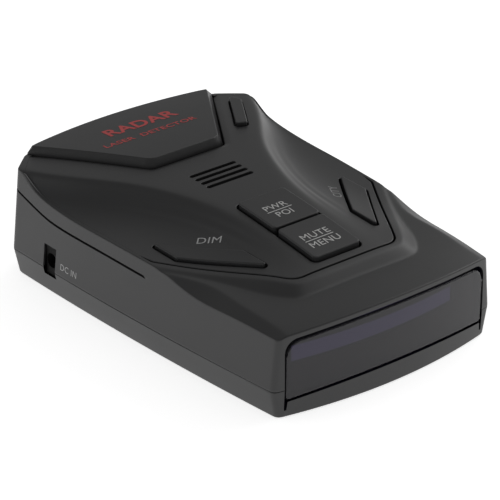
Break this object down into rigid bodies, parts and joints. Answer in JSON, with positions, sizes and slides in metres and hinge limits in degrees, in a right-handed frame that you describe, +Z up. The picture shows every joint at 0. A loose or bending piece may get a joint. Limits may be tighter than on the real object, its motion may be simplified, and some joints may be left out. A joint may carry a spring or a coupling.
{
  "type": "car radar detector",
  "caption": "Wedge-shaped dashboard radar detector with a bowed dark display window, raised rear antenna cover, scooped shoulders, spring keys and a DC inlet.",
  "frame": {"origin": "middle of the footprint, on the surface the case stands on", "axes": "+Z up, +Y from the display end to the antenna end, +X to the driver's right"},
  "size_m": [0.07, 0.0989, 0.0283],
  "materials": {
    "case_black": "satin",
    "key_plastic": "satin",
    "smoked_window": "gloss",
    "black_mask": "matt",
    "display_glass": "gloss",
    "board_green": "satin",
    "ribbon": "satin",
    "chip_black": "matt",
    "can_metal": "satin",
    "shield_steel": "satin",
    "ceramic": "matt",
    "horn_metal": "cast",
    "speaker_plastic": "matt",
    "speaker_paper": "matt",
    "magnet": "satin",
    "mesh_cloth": "matt",
    "wire_sleeve": "satin",
    "inlet_plastic": "satin",
    "steel": "satin",
    "screw_black": "black oxide",
    "label": "satin",
    "switch_body": "matt",
    "plunger": "matt"
  },
  "bodies": {
    "detector": {"lower_case": "case_black", "upper_case": "case_black", "top_panel": "case_black", "antenna_cover": "case_black", "display_window": "smoked_window", "rear_window": "smoked_window", "display_mask": "black_mask", "display_module": "display_glass", "display_board": "board_green", "main_board": "board_green", "display_cable": "ribbon", "processor": "chip_black", "support_chips": "chip_black", "capacitors": "can_metal", "rf_shield": "shield_steel", "position_antenna": "ceramic", "laser_sensor": "chip_black", "horn_antenna": "horn_metal", "speaker_frame": "speaker_plastic", "speaker_cone": "speaker_paper", "speaker_magnet": "magnet", "speaker_mesh": "mesh_cloth", "speaker_wires": "wire_sleeve", "dc_inlet": "inlet_plastic", "release_spring": "steel", "bracket_socket": "speaker_plastic", "case_screws": "screw_black", "board_screws": "steel", "rating_label": "label", "power_switch": "switch_body", "mute_switch": "switch_body", "dim_switch": "switch_body", "city_switch": "switch_body"},
    "power_key": {"power_button": "key_plastic", "power_plunger": "plunger"},
    "mute_key": {"mute_button": "key_plastic", "mute_plunger": "plunger"},
    "dim_key": {"dim_button": "key_plastic", "dim_plunger": "plunger"},
    "city_key": {"city_button": "key_plastic", "city_plunger": "plunger"},
    "mount_release": {"release_button": "key_plastic", "release_latch": "steel"}
  },
  "joints": [
    {"name": "power_press", "type": "slide", "parent": "detector", "child": "power_key", "axis": [0, 0, -1], "range_m": [0, 0.0004], "stiffness_N_per_m": 800},
    {"name": "mute_press", "type": "slide", "parent": "detector", "child": "mute_key", "axis": [0, 0, -1], "range_m": [0, 0.0004], "stiffness_N_per_m": 800},
    {"name": "dim_press", "type": "slide", "parent": "detector", "child": "dim_key", "axis": [0, 0, -1], "range_m": [0, 0.0004], "stiffness_N_per_m": 800},
    {"name": "city_press", "type": "slide", "parent": "detector", "child": "city_key", "axis": [0, 0, -1], "range_m": [0, 0.0004], "stiffness_N_per_m": 800},
    {"name": "release_press", "type": "slide", "parent": "detector", "child": "mount_release", "axis": [0, 0, -1], "range_m": [0, 0.0012], "stiffness_N_per_m": 600, "deforming": ["release_spring"]}
  ]
}
